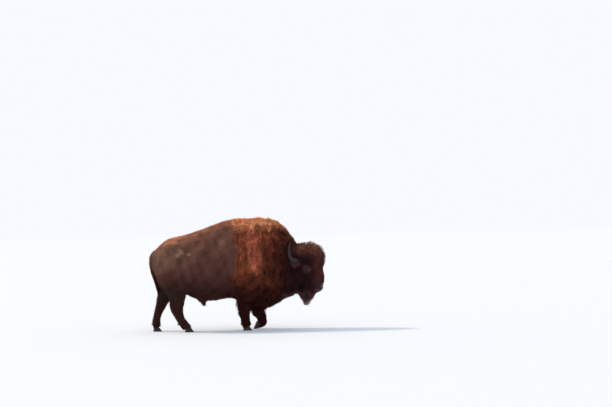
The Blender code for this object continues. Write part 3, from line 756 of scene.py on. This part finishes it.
def roots(wanted, number, rng):
    """Spreads a number of roots over the wanted triangles, closer together where locks are short."""
    size = field["length"][skin_triangles].mean(1)
    weight = triangle_area * wanted / (size * lock_width(size))
    reach = np.cumsum(weight)
    picks = (np.arange(number) + rng.random(number)) / number * reach[-1]
    chosen = np.minimum(np.searchsorted(reach, picks), len(reach) - 1)
    share = rng.random((number, 2))
    share[share.sum(1) > 1] = 1 - share[share.sum(1) > 1]
    shares = np.column_stack([1 - share.sum(1), share])
    found = {}
    for name, values in field.items():
        at_corners = values[skin_triangles[chosen]].reshape(number, 3, -1)
        found[name] = (at_corners * shares[:, :, None]).sum(1)
    found["sheet"] = (skin_sheet[chosen] * shares[:, :, None]).sum(1)
    return found


# %% Clumps
def clumps(root, size, rng):
    """For each lock, the number of the clump that it is in: the nearest of some chosen locks."""
    points = root["point"]
    spacing = size * size
    area = root["area"]
    number = max(int(area / spacing), 1)
    centres = rng.choice(len(points), min(number, len(points)), replace=False)
    tree = kdtree.KDTree(len(centres))
    for i, c in enumerate(centres):
        tree.insert(points[c], i)
    tree.balance()
    return centres, np.array([tree.find(p)[1] for p in points])


# %% The mesh of many locks
ROOT_DEPTH = 0.004  # how far a lock starts under the skin
FLATNESS = 0.38  # a lock's thickness as a share of its width
PATCH = 0.003  # a lock's spot on the flat sheet
TIP_ROOM = 0.012  # how far the tips of shaggy locks may stand out of the solids
CORNERS = np.radians([90, 210, 330])
DOWN = np.array([[0.0, 0.0, -1.0]])


def lock_mesh(name, root, steps, widths, clump_size, pull, droop, curl, rng):
    """Builds the locks that grow from the given roots: rings of three corners at the steps along
    each lock, then one tip."""
    number = len(root["point"])
    point, normal, way = root["point"], unit(root["normal"]), unit(root["lie"])
    length = root["length"][:, :1] * rng.uniform(0.72, 1.25, (number, 1))
    rise = root["rise"] * rng.uniform(0.35, 1.0, (number, 1))
    way = unit(way + 0.16 * rng.normal(size=(number, 3)))
    way = unit(way - normal * dot(way, normal))
    sag = DOWN - normal * np.minimum(dot(DOWN, normal), 0)
    centres, member = clumps(root, clump_size, rng)
    clump_length = rng.uniform(0.8, 1.2, (len(centres), 1))
    clump_shade = rng.random(len(centres))
    length = length * clump_length[member]
    ragged = root["ragged"] * length * rng.random((len(centres), 1))[member]
    spare = (TIP_ROOM * rng.random((number, 1)) - ragged) * root["shaggy"]

    def free_tip():
        return point + way * length * 0.86 + normal * rise + sag * droop * length

    for _ in range(2):
        over = outside(free_tip())[0][:, None] - spare
        length = length * np.clip(1 - np.maximum(over, 0) / length, 0.35, 1)
    tip = free_tip()
    gathered = tip[centres][member]
    lean = (gathered - tip) * pull * root["shaggy"]
    reach = np.linalg.norm(lean, axis=1, keepdims=True)
    lean *= np.minimum(1, 0.45 * length / np.maximum(reach, 1e-6))
    over, way_out = outside(tip + lean)
    push = way_out * np.maximum(over[:, None] - np.maximum(spare, 0), 0)
    wobble = curl * length * rng.normal(size=(number, 3)) * root["shaggy"]

    def place(t):
        out = normal * (rise * (2 * t - t * t) - ROOT_DEPTH * (1 - t))
        along = way * length * t * (1 - 0.14 * t)
        bent = sag * droop * length + lean - push
        return point + along + out + bent * t * t + wobble * math.sin(math.pi * t)

    width = lock_width(length) * rng.uniform(0.75, 1.25, (number, 1))
    rings = []
    for step, share in zip(steps, widths):
        ahead = unit(place(step + 0.05) - place(step - 0.05))
        across = unit(np.cross(ahead, normal))
        above = np.cross(across, ahead)
        turn = rng.normal(size=(number, 1)) * 0.35
        for angle in CORNERS:
            side = across * np.cos(angle + turn) + above * FLATNESS * np.sin(angle + turn)
            rings.append(place(step) + side * width * share * 0.5)
    rings.append(place(1.0))
    per = len(rings)
    points = np.stack(rings, 1).reshape(-1, 3)
    faces = [(0, 1, 2)]
    for ring in range(len(steps) - 1):
        for k in range(3):
            here, there = ring * 3, ring * 3 + 3
            faces.append((here + k, there + k, there + (k + 1) % 3, here + (k + 1) % 3))
    last = (len(steps) - 1) * 3
    faces.extend((last + k, per - 1, last + (k + 1) % 3) for k in range(3))
    return write_locks(name, root, points, faces, per, steps, clump_shade[member], rng)


def write_locks(name, root, points, faces, per, steps, clump_shade, rng):
    number = len(root["point"])
    starts = np.cumsum([0] + [len(f) for f in faces])
    one = np.concatenate([np.array(f) for f in faces])
    loops = (one[None] + (np.arange(number) * per)[:, None]).ravel()
    loop_starts = (starts[:-1][None] + (np.arange(number) * starts[-1])[:, None]).ravel()
    mesh = bpy.data.meshes.new(name)
    mesh.vertices.add(len(points))
    mesh.vertices.foreach_set("co", points.ravel())
    mesh.loops.add(len(loops))
    mesh.loops.foreach_set("vertex_index", loops)
    mesh.polygons.add(len(loop_starts))
    mesh.polygons.foreach_set("loop_start", loop_starts)
    mesh.update(calc_edges=True)
    piece = bpy.data.objects.new(name, mesh)
    bpy.context.scene.collection.objects.link(piece)
    paint(piece, np.repeat(root["tint"], per, 0))
    along = np.append(np.repeat(steps, 3), 1.0)
    across = np.append(np.tile([0.5, 0.0, 1.0], len(steps)), 0.5)
    shade = np.clip(0.6 * clump_shade + 0.4 * rng.random(number), 0, 1)
    for label, values in (("along", np.tile(along, number)), ("shade", np.repeat(shade, per))):
        layer = mesh.attributes.new(label, "FLOAT", "POINT")
        layer.data.foreach_set("value", values)
    spot = np.column_stack([across, along]) - 0.5
    sheet = np.repeat(root["sheet"], per, 0) + np.tile(spot, (number, 1)) * PATCH
    mesh.uv_layers.new(name=SHEET).data.foreach_set("uv", sheet[loops].ravel())
    mesh.shade_smooth()
    return piece

# %% [markdown]
# ## Growing the coat, region by region
# The coat is grown in pieces, each a region of the body, so that each has its own kind of lock and
# stays a mesh of a handy size. Long locks have three rings and bend. Short ones have two.

# %% Regions of the coat
SEED = 7
LONG = ((0.0, 0.34, 0.72), (0.75, 1.0, 0.62))  # where the rings are along a lock, and their widths
SHORT = ((0.0, 0.45), (0.8, 1.0))


def per_triangle(values):
    return values[skin_triangles].mean(1)


left_side = per_triangle(surface.points[:, 1]) > 0
left_cheek = per_triangle(places.out) > 0
fore_half = per_triangle(surface.points[:, 0]) > 0.33
is_beard = per_triangle(places.part("beard")) > 0.5
is_tail = per_triangle(places.part("tail")) > 0.5
is_bare = (per_triangle(places.from_eye) < 0.030) | (per_triangle(places.nose_pad) > 0.5)
is_head = (per_triangle(places.part("head", "ear")) > 0.5) & ~is_beard & ~is_bare
is_arm = (per_triangle(places.part("foreleg")) > 0.5) & ~is_head
is_shank = (per_triangle(places.lower_leg) > 0.5) & ~is_arm
is_arm = is_arm | (is_shank & fore_half)
is_rest = ~(is_beard | is_tail | is_head | is_arm | is_shank | is_bare)
is_cape = is_rest & (per_triangle(places.cape) > 0.5)
is_rear = is_rest & ~is_cape

# name: (triangles, number of locks, kind, clump size, pull, droop, curl)
COAT = {
    "coat_rear_left": (is_rear & left_side, 19500, SHORT, 0.030, 0.35, 0.00, 0.05),
    "coat_rear_right": (is_rear & ~left_side, 19500, SHORT, 0.030, 0.35, 0.00, 0.05),
    "coat_cape_left_back": (is_cape & left_side & ~fore_half, 7500, LONG, 0.042, 0.55, 0.15, 0.10),
    "coat_cape_right_back": (is_cape & ~left_side & ~fore_half, 7500, LONG, 0.042, 0.55, 0.15, 0.10),
    "coat_cape_left_front": (is_cape & left_side & fore_half, 8500, LONG, 0.042, 0.55, 0.20, 0.10),
    "coat_cape_right_front": (is_cape & ~left_side & fore_half, 8500, LONG, 0.042, 0.55, 0.20, 0.10),
    "coat_head_left": (is_head & left_cheek, 9000, LONG, 0.034, 0.55, 0.12, 0.16),
    "coat_head_right": (is_head & ~left_cheek, 9000, LONG, 0.034, 0.55, 0.12, 0.16),
    "coat_beard": (is_beard, 2600, LONG, 0.030, 0.45, 0.25, 0.10),
    "coat_fore_legs": (is_arm, 8000, LONG, 0.036, 0.50, 0.15, 0.08),
    "coat_shanks": (is_shank & ~is_arm, 6000, SHORT, 0.020, 0.25, 0.00, 0.03),
    "coat_tail": (is_tail, 1600, LONG, 0.020, 0.40, 0.20, 0.05),
}


def grow(name, wanted, number, kind, clump_size, pull, droop, curl, rng):
    root = roots(wanted, number, rng)
    root["area"] = triangle_area[wanted].sum()
    return lock_mesh(name, root, *kind, clump_size, pull, droop, curl, rng)


coat = []
for order, (name, rule) in enumerate(COAT.items()):
    piece = grow(name, *rule, np.random.default_rng(SEED + order))
    coat.append(piece)
    corners = sum(len(p.vertices) - 2 for p in piece.data.polygons)
    print(name, rule[1], "locks,", corners, "triangles,", round(triangle_area[rule[0]].sum(), 2), "m2")

# %% [markdown]
# ## Finishes
# Hair scatters light and has no sharp shine, so its finish is rough with a little sheen. The roots
# lie in their neighbours' shade and the tips are bleached, and a fine mottle breaks up each colour.
# These rules are a group of nodes that the hair and the skin share.

# %% The group that turns markings into hair colour
def add_node(tree, kind, **values):
    node = tree.nodes.new(kind)
    for label, value in values.items():
        setattr(node, label, value)
    return node


def hair_tone_group():
    group = bpy.data.node_groups.new("hair_tone", "ShaderNodeTree")
    for label, kind, default in (
        ("Markings", "NodeSocketColor", (0.1, 0.05, 0.03, 1)),
        ("Along", "NodeSocketFloat", 0.5),
        ("Shade", "NodeSocketFloat", 0.5),
        ("Root Dark", "NodeSocketFloat", 0.5),
        ("Tip Light", "NodeSocketFloat", 1.3),
        ("Variation", "NodeSocketFloat", 0.4),
    ):
        socket = group.interface.new_socket(label, in_out="INPUT", socket_type=kind)
        socket.default_value = default
    group.interface.new_socket("Colour", in_out="OUTPUT", socket_type="NodeSocketColor")
    links = group.links
    given = add_node(group, "NodeGroupInput")
    out = add_node(group, "NodeGroupOutput")
    place = add_node(group, "ShaderNodeTexCoord")
    mottle = add_node(group, "ShaderNodeTexNoise")
    settle(mottle, {"Scale": 26, "Detail": 4})
    links.new(place.outputs["Object"], mottle.inputs["Vector"])
    rise = add_node(group, "ShaderNodeMapRange", interpolation_type="SMOOTHSTEP")
    links.new(given.outputs["Along"], rise.inputs["Value"])
    links.new(given.outputs["Root Dark"], rise.inputs["To Min"])
    links.new(given.outputs["Tip Light"], rise.inputs["To Max"])
    mixed = add_node(group, "ShaderNodeMath", operation="ADD")
    links.new(given.outputs["Shade"], mixed.inputs[0])
    links.new(mottle.outputs["Fac"], mixed.inputs[1])
    centred = add_node(group, "ShaderNodeMath", operation="SUBTRACT")
    links.new(mixed.outputs[0], centred.inputs[0])
    centred.inputs[1].default_value = 1.0
    scaled = add_node(group, "ShaderNodeMath", operation="MULTIPLY_ADD")
    links.new(centred.outputs[0], scaled.inputs[0])
    links.new(given.outputs["Variation"], scaled.inputs[1])
    scaled.inputs[2].default_value = 1.0
    tone = add_node(group, "ShaderNodeMath", operation="MULTIPLY")
    links.new(rise.outputs["Result"], tone.inputs[0])
    links.new(scaled.outputs[0], tone.inputs[1])
    tinted = add_node(group, "ShaderNodeVectorMath", operation="SCALE")
    links.new(given.outputs["Markings"], tinted.inputs[0])
    links.new(tone.outputs[0], tinted.inputs["Scale"])
    links.new(tinted.outputs[0], out.inputs["Colour"])
    return group


hair_tone = hair_tone_group()


# %% The hair's finish and the skin's
def new_material(name, roughness):
    made = bpy.data.materials.new(name)
    made.use_nodes = True
    shader = made.node_tree.nodes["Principled BSDF"]
    shader.inputs["Roughness"].default_value = roughness
    return made, made.node_tree, shader


def attribute(tree, label, output):
    return add_node(tree, "ShaderNodeAttribute", attribute_name=label).outputs[output]


def hair_material():
    made, tree, shader = new_material("winter_hair", 0.8)
    given_values = {
        "Specular IOR Level": 0.04,
        "Sheen Weight": 0.02,
        "Sheen Roughness": 0.6,
        "Sheen Tint": (1.0, 0.72, 0.5, 1),
    }
    settle(shader, given_values)
    tone = add_node(tree, "ShaderNodeGroup", node_tree=hair_tone)
    settle(tone, {"Root Dark": 0.62, "Tip Light": 1.22, "Variation": 0.40})
    tree.links.new(attribute(tree, "markings", "Color"), tone.inputs["Markings"])
    tree.links.new(attribute(tree, "along", "Fac"), tone.inputs["Along"])
    tree.links.new(attribute(tree, "shade", "Fac"), tone.inputs["Shade"])
    tree.links.new(tone.outputs["Colour"], shader.inputs["Base Color"])
    return made


def fibre_bump(tree, scale, strength, distance, detail=4, turn=(0, 0, 0)):
    """Fine fibres as a bump, read from the object's own coordinates."""
    place = add_node(tree, "ShaderNodeTexCoord")
    drawn = add_node(tree, "ShaderNodeMapping")
    settle(drawn, {"Scale": scale, "Rotation": turn})
    fibres = add_node(tree, "ShaderNodeTexNoise")
    settle(fibres, {"Scale": 1, "Detail": detail})
    relief = add_node(tree, "ShaderNodeBump")
    settle(relief, {"Strength": strength, "Distance": distance})
    tree.links.new(place.outputs["Object"], drawn.inputs["Vector"])
    tree.links.new(drawn.outputs["Vector"], fibres.inputs["Vector"])
    tree.links.new(fibres.outputs["Fac"], relief.inputs["Height"])
    return fibres.outputs["Fac"], relief.outputs["Normal"]


def skin_material():
    made, tree, shader = new_material("hide", 0.8)
    shader.inputs["Specular IOR Level"].default_value = 0.1
    tone = add_node(tree, "ShaderNodeGroup", node_tree=hair_tone)
    settle(tone, {"Along": 0.4, "Shade": 0.5})
    tree.links.new(attribute(tree, "markings", "Color"), tone.inputs["Markings"])
    tree.links.new(tone.outputs["Colour"], shader.inputs["Base Color"])
    _, normal = fibre_bump(tree, (40, 220, 260), 0.5, 0.004, 3, (0, math.radians(-30), 0))
    tree.links.new(normal, shader.inputs["Normal"])
    wet = add_node(tree, "ShaderNodeMapRange")
    settle(wet, {"To Min": 0.8, "To Max": 0.35})
    tree.links.new(attribute(tree, "bare", "Fac"), wet.inputs["Value"])
    tree.links.new(wet.outputs["Result"], shader.inputs["Roughness"])
    return made


def mask_layer(piece, label, values):
    layer = piece.data.attributes.new(label, "FLOAT", "POINT")
    layer.data.foreach_set("value", np.asarray(values, float))


mask_layer(skin, "bare", np.maximum(places.nose_pad, 1 - ramp(places.from_eye, 0.02, 0.035)))
winter_hair = hair_material()
hide = skin_material()
skin.data.materials.clear()
skin.data.materials.append(hide)
for piece in coat:
    piece.data.materials.append(winter_hair)

# %% [markdown]
# ## Horns
# A horn is a sheath of keratin over a core of bone. It grows in rings at its base, where it is
# rough and dull, and wears smooth and dark towards the point. The plain horn of the frame is
# copied, made finer, and its rings are raised as low waves along it.

# %% Smooth copies of the hard parts
def smooth_copy(node, name, levels):
    """A finer, rounder copy of a plain solid."""
    made = merged_copy(node, name)
    edit_all(made)
    bpy.ops.mesh.tris_convert_to_quads()
    bpy.ops.object.mode_set(mode="OBJECT")
    finer = made.modifiers.new("finer", "SUBSURF")
    finer.levels = levels
    finer.render_levels = levels
    activate(made)
    bpy.ops.object.modifier_apply(modifier=finer.name)
    bpy.ops.object.shade_smooth()
    return made


def finish_piece(piece, node, material):
    piece.data.materials.clear()
    piece.data.materials.append(material)
    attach(piece, "root")
    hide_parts(node)


HORN_LINE = [  # forward, out and height of the horn's middle line
    (0.185, 0.095, 1.110),
    (0.165, 0.155, 1.098),
    (0.147, 0.215, 1.092),
    (0.118, 0.272, 1.105),
    (0.094, 0.312, 1.150),
    (0.082, 0.330, 1.215),
    (0.081, 0.324, 1.285),
    (0.088, 0.304, 1.345),
    (0.096, 0.284, 1.386),
]
RING_HEIGHT = 0.0016
RING_SPACING = 0.017


def along_line(points, line):
    """How far along a line of straight stretches each point is, in metres."""
    line = np.array(line)
    steps = line[1:] - line[:-1]
    lengths = np.linalg.norm(steps, axis=1)
    best = np.full(len(points), np.inf)
    found = np.zeros(len(points))
    for start, step, size, before in zip(line, steps, lengths, np.cumsum(lengths) - lengths):
        share = np.clip((points - start) @ step / size**2, 0, 1)
        off = np.linalg.norm(points - start - share[:, None] * step, axis=1)
        closer = off < best
        best[closer] = off[closer]
        found[closer] = (before + share * size)[closer]
    return found, lengths.sum()


def horn(side, sign, material):
    made = smooth_copy("horn_" + side, "horn_of_keratin_" + side, 3)
    line = [on_head(f, sign * out, height) for f, out, height in HORN_LINE]
    horn_surface = Surface(made)
    reach, whole = along_line(horn_surface.points, line)
    share = reach / whole
    wave = np.sin(2 * math.pi * reach / RING_SPACING + 0.8 * ripple(horn_surface.points, 0.06, 51))
    chips = ripple(horn_surface.points, 0.018, 52)
    worn = 1 - ramp(share, 0.35, 0.75)
    relief = worn * RING_HEIGHT * (wave + 0.8 * chips) + 0.0012
    put_points(made, horn_surface.points + horn_surface.normals * relief[:, None])
    mask_layer(made, "horn_share", share)
    finish_piece(made, "horn_" + side, material)
    return made


# %% Horn, hoof and eye finishes
def ramp_node(tree, stops):
    node = add_node(tree, "ShaderNodeValToRGB")
    steps = node.color_ramp.elements
    while len(steps) < len(stops):
        steps.new(0.5)
    for step, (place, tint) in zip(steps, stops):
        step.position = place
        step.color = (*tint, 1)
    return node


def multiply_node(tree, factor):
    node = add_node(tree, "ShaderNodeMix", data_type="RGBA", blend_type="MULTIPLY")
    node.inputs["Factor"].default_value = factor
    return node


def horn_material():
    made, tree, shader = new_material("dark_horn", 0.4)
    stops = ((0.0, (0.090, 0.050, 0.036)), (0.35, (0.030, 0.020, 0.023)), (1.0, (0.014, 0.011, 0.014)))
    tint = ramp_node(tree, stops)
    tree.links.new(attribute(tree, "horn_share", "Fac"), tint.inputs["Fac"])
    shader.inputs["Specular IOR Level"].default_value = 0.3
    fibres, normal = fibre_bump(tree, (60, 60, 60), 0.3, 0.002)
    streaked = multiply_node(tree, 0.8)
    spread = add_node(tree, "ShaderNodeMapRange")
    settle(spread, {"From Min": 0.3, "From Max": 0.7, "To Min": 0.55, "To Max": 1.5})
    tree.links.new(fibres, spread.inputs["Value"])
    tree.links.new(tint.outputs["Color"], streaked.inputs["A"])
    tree.links.new(spread.outputs["Result"], streaked.inputs["B"])
    tree.links.new(streaked.outputs["Result"], shader.inputs["Base Color"])
    tree.links.new(normal, shader.inputs["Normal"])
    rough = add_node(tree, "ShaderNodeMapRange")
    settle(rough, {"To Min": 0.6, "To Max": 0.28})
    tree.links.new(attribute(tree, "horn_share", "Fac"), rough.inputs["Value"])
    tree.links.new(rough.outputs["Result"], shader.inputs["Roughness"])
    return made


def hoof_material():
    made, tree, shader = new_material("black_hoof", 0.55)
    shader.inputs["Specular IOR Level"].default_value = 0.3
    fibres, normal = fibre_bump(tree, (180, 180, 25), 0.4, 0.0015)
    tint = ramp_node(tree, ((0.3, (0.012, 0.009, 0.009)), (0.7, (0.034, 0.026, 0.022))))
    tree.links.new(fibres, tint.inputs["Fac"])
    tree.links.new(tint.outputs["Color"], shader.inputs["Base Color"])
    tree.links.new(normal, shader.inputs["Normal"])
    return made


dark_horn = horn_material()
horns = [horn(side, sign, dark_horn) for side, sign in SIDES.items()]
print("horns of", [len(h.data.polygons) for h in horns], "faces")

# %% [markdown]
# ## Hooves and dewclaws
# Each foot has two claws and, behind the fetlock, two small horny knobs. Hoof horn grows down in
# fine fibres and is worn at its edges, so the plain claws of the frame are given bevelled edges
# and growth rings, and a dark, dull finish. The soles stay flat on the floor.

# %% Hooves
SOLE_HEIGHT = 0.004  # points below this stay where they are, so that the sole stays flat
CLAW_RING_SPACING = 0.011
CLAW_RING_HEIGHT = 0.0005
WORN_EDGE = 0.005


def hoof(node, material):
    made = merged_copy(node, node.replace("hoof", "claw"))
    edit_all(made)
    bpy.ops.mesh.dissolve_limited(angle_limit=math.radians(4))
    bpy.ops.object.mode_set(mode="OBJECT")
    edges = made.modifiers.new("worn_edges", "BEVEL")
    edges.width = WORN_EDGE
    edges.segments = 3
    edges.limit_method = "ANGLE"
    edges.angle_limit = math.radians(35)
    activate(made)
    bpy.ops.object.modifier_apply(modifier=edges.name)
    edit_all(made)
    bpy.ops.mesh.quads_convert_to_tris()
    bpy.ops.mesh.subdivide(number_cuts=2)
    bpy.ops.object.mode_set(mode="OBJECT")
    claw_surface = Surface(made)
    up = ramp(claw_surface.points[:, 2], SOLE_HEIGHT, 4 * SOLE_HEIGHT)
    turns = claw_surface.points[:, 2] * 2 * math.pi / CLAW_RING_SPACING
    rings = np.sin(turns + ripple(claw_surface.points, 0.05, 61))
    relief = CLAW_RING_HEIGHT * rings * up
    put_points(made, claw_surface.points + claw_surface.normals * relief[:, None])
    bpy.ops.object.shade_smooth_by_angle(angle=math.radians(50))
    finish_piece(made, node, material)
    return made


black_hoof = hoof_material()
hoof_nodes = sorted(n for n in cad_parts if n.startswith("hoof"))
dewclaw_nodes = sorted(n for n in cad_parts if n.startswith("dewclaw"))
hooves = [hoof(node, black_hoof) for node in hoof_nodes]
for node in dewclaw_nodes:
    knob = smooth_copy(node, node.replace("dewclaw", "knob"), 2)
    finish_piece(knob, node, black_hoof)
print(len(hooves), "claws and", len(dewclaw_nodes), "dewclaws")

# %% [markdown]
# ## Eyes
# A bison's eye is a dark, wet ball that faces sideways, with a pupil that lies level. A sphere is
# added at the eye's place, its front is pushed out a little for the cornea, and iris and pupil are
# coloured by how far a point lies from the line of sight.

# %% Eyes
EYE_LOOK_FORWARD = 0.28
CORNEA = 0.0016


def eye_material():
    made, tree, shader = new_material("wet_eye", 0.06)
    shader.inputs["Coat Weight"].default_value = 0.6
    stops = (
        (0.0, (0.002, 0.002, 0.003)),
        (0.34, (0.003, 0.002, 0.002)),
        (0.40, (0.045, 0.018, 0.008)),
        (0.72, (0.025, 0.010, 0.005)),
        (0.80, (0.006, 0.004, 0.004)),
        (1.0, (0.03, 0.02, 0.02)),
    )
    tint = ramp_node(tree, stops)
    tree.links.new(attribute(tree, "from_sight", "Fac"), tint.inputs["Fac"])
    grain, normal = fibre_bump(tree, (500, 500, 500), 0.02, 0.0005)
    mixed = multiply_node(tree, 0.5)
    tree.links.new(tint.outputs["Color"], mixed.inputs["A"])
    tree.links.new(grain, mixed.inputs["B"])
    tree.links.new(mixed.outputs["Result"], shader.inputs["Base Color"])
    tree.links.new(normal, shader.inputs["Normal"])
    return made


def eye(side, sign, material):
    centre = on_head(EYE_FORWARD, sign * EYE_OUT, EYE_HEIGHT)
    bpy.ops.object.select_all(action="DESELECT")
    bpy.ops.mesh.primitive_uv_sphere_add(segments=48, ring_count=32, radius=EYE_RADIUS, location=centre)
    made = bpy.context.active_object
    made.name = "eyeball_" + side
    bpy.ops.object.transform_apply(location=True, rotation=True, scale=True)
    sight = unit(head_vector(EYE_LOOK_FORWARD, sign, 0.0)[None])[0]
    points = points_of(made)
    from_centre = (points - np.array(centre)) / EYE_RADIUS
    facing = from_centre @ sight
    across = from_centre - facing[:, None] * sight
    upright = across[:, 2]
    level = np.linalg.norm(across - upright[:, None] * np.array([0, 0, 1.0]), axis=1)
    away = np.hypot(level * 0.85, upright * 1.25)
    front = ramp(facing, 0.80, 0.99)
    put_points(made, points + sight * (CORNEA * front)[:, None])
    mask_layer(made, "from_sight", np.where(facing > 0, np.clip(away, 0, 1), 1.0))
    bpy.ops.object.shade_smooth()
    finish_piece(made, "eye_" + side, material)
    return made


wet_eye = eye_material()
for side, sign in SIDES.items():
    eye(side, sign, wet_eye)
print("eyes of radius", EYE_RADIUS, "m")


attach(skin, "root")
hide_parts(*flesh_nodes)
for piece in coat:
    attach(piece, "root")
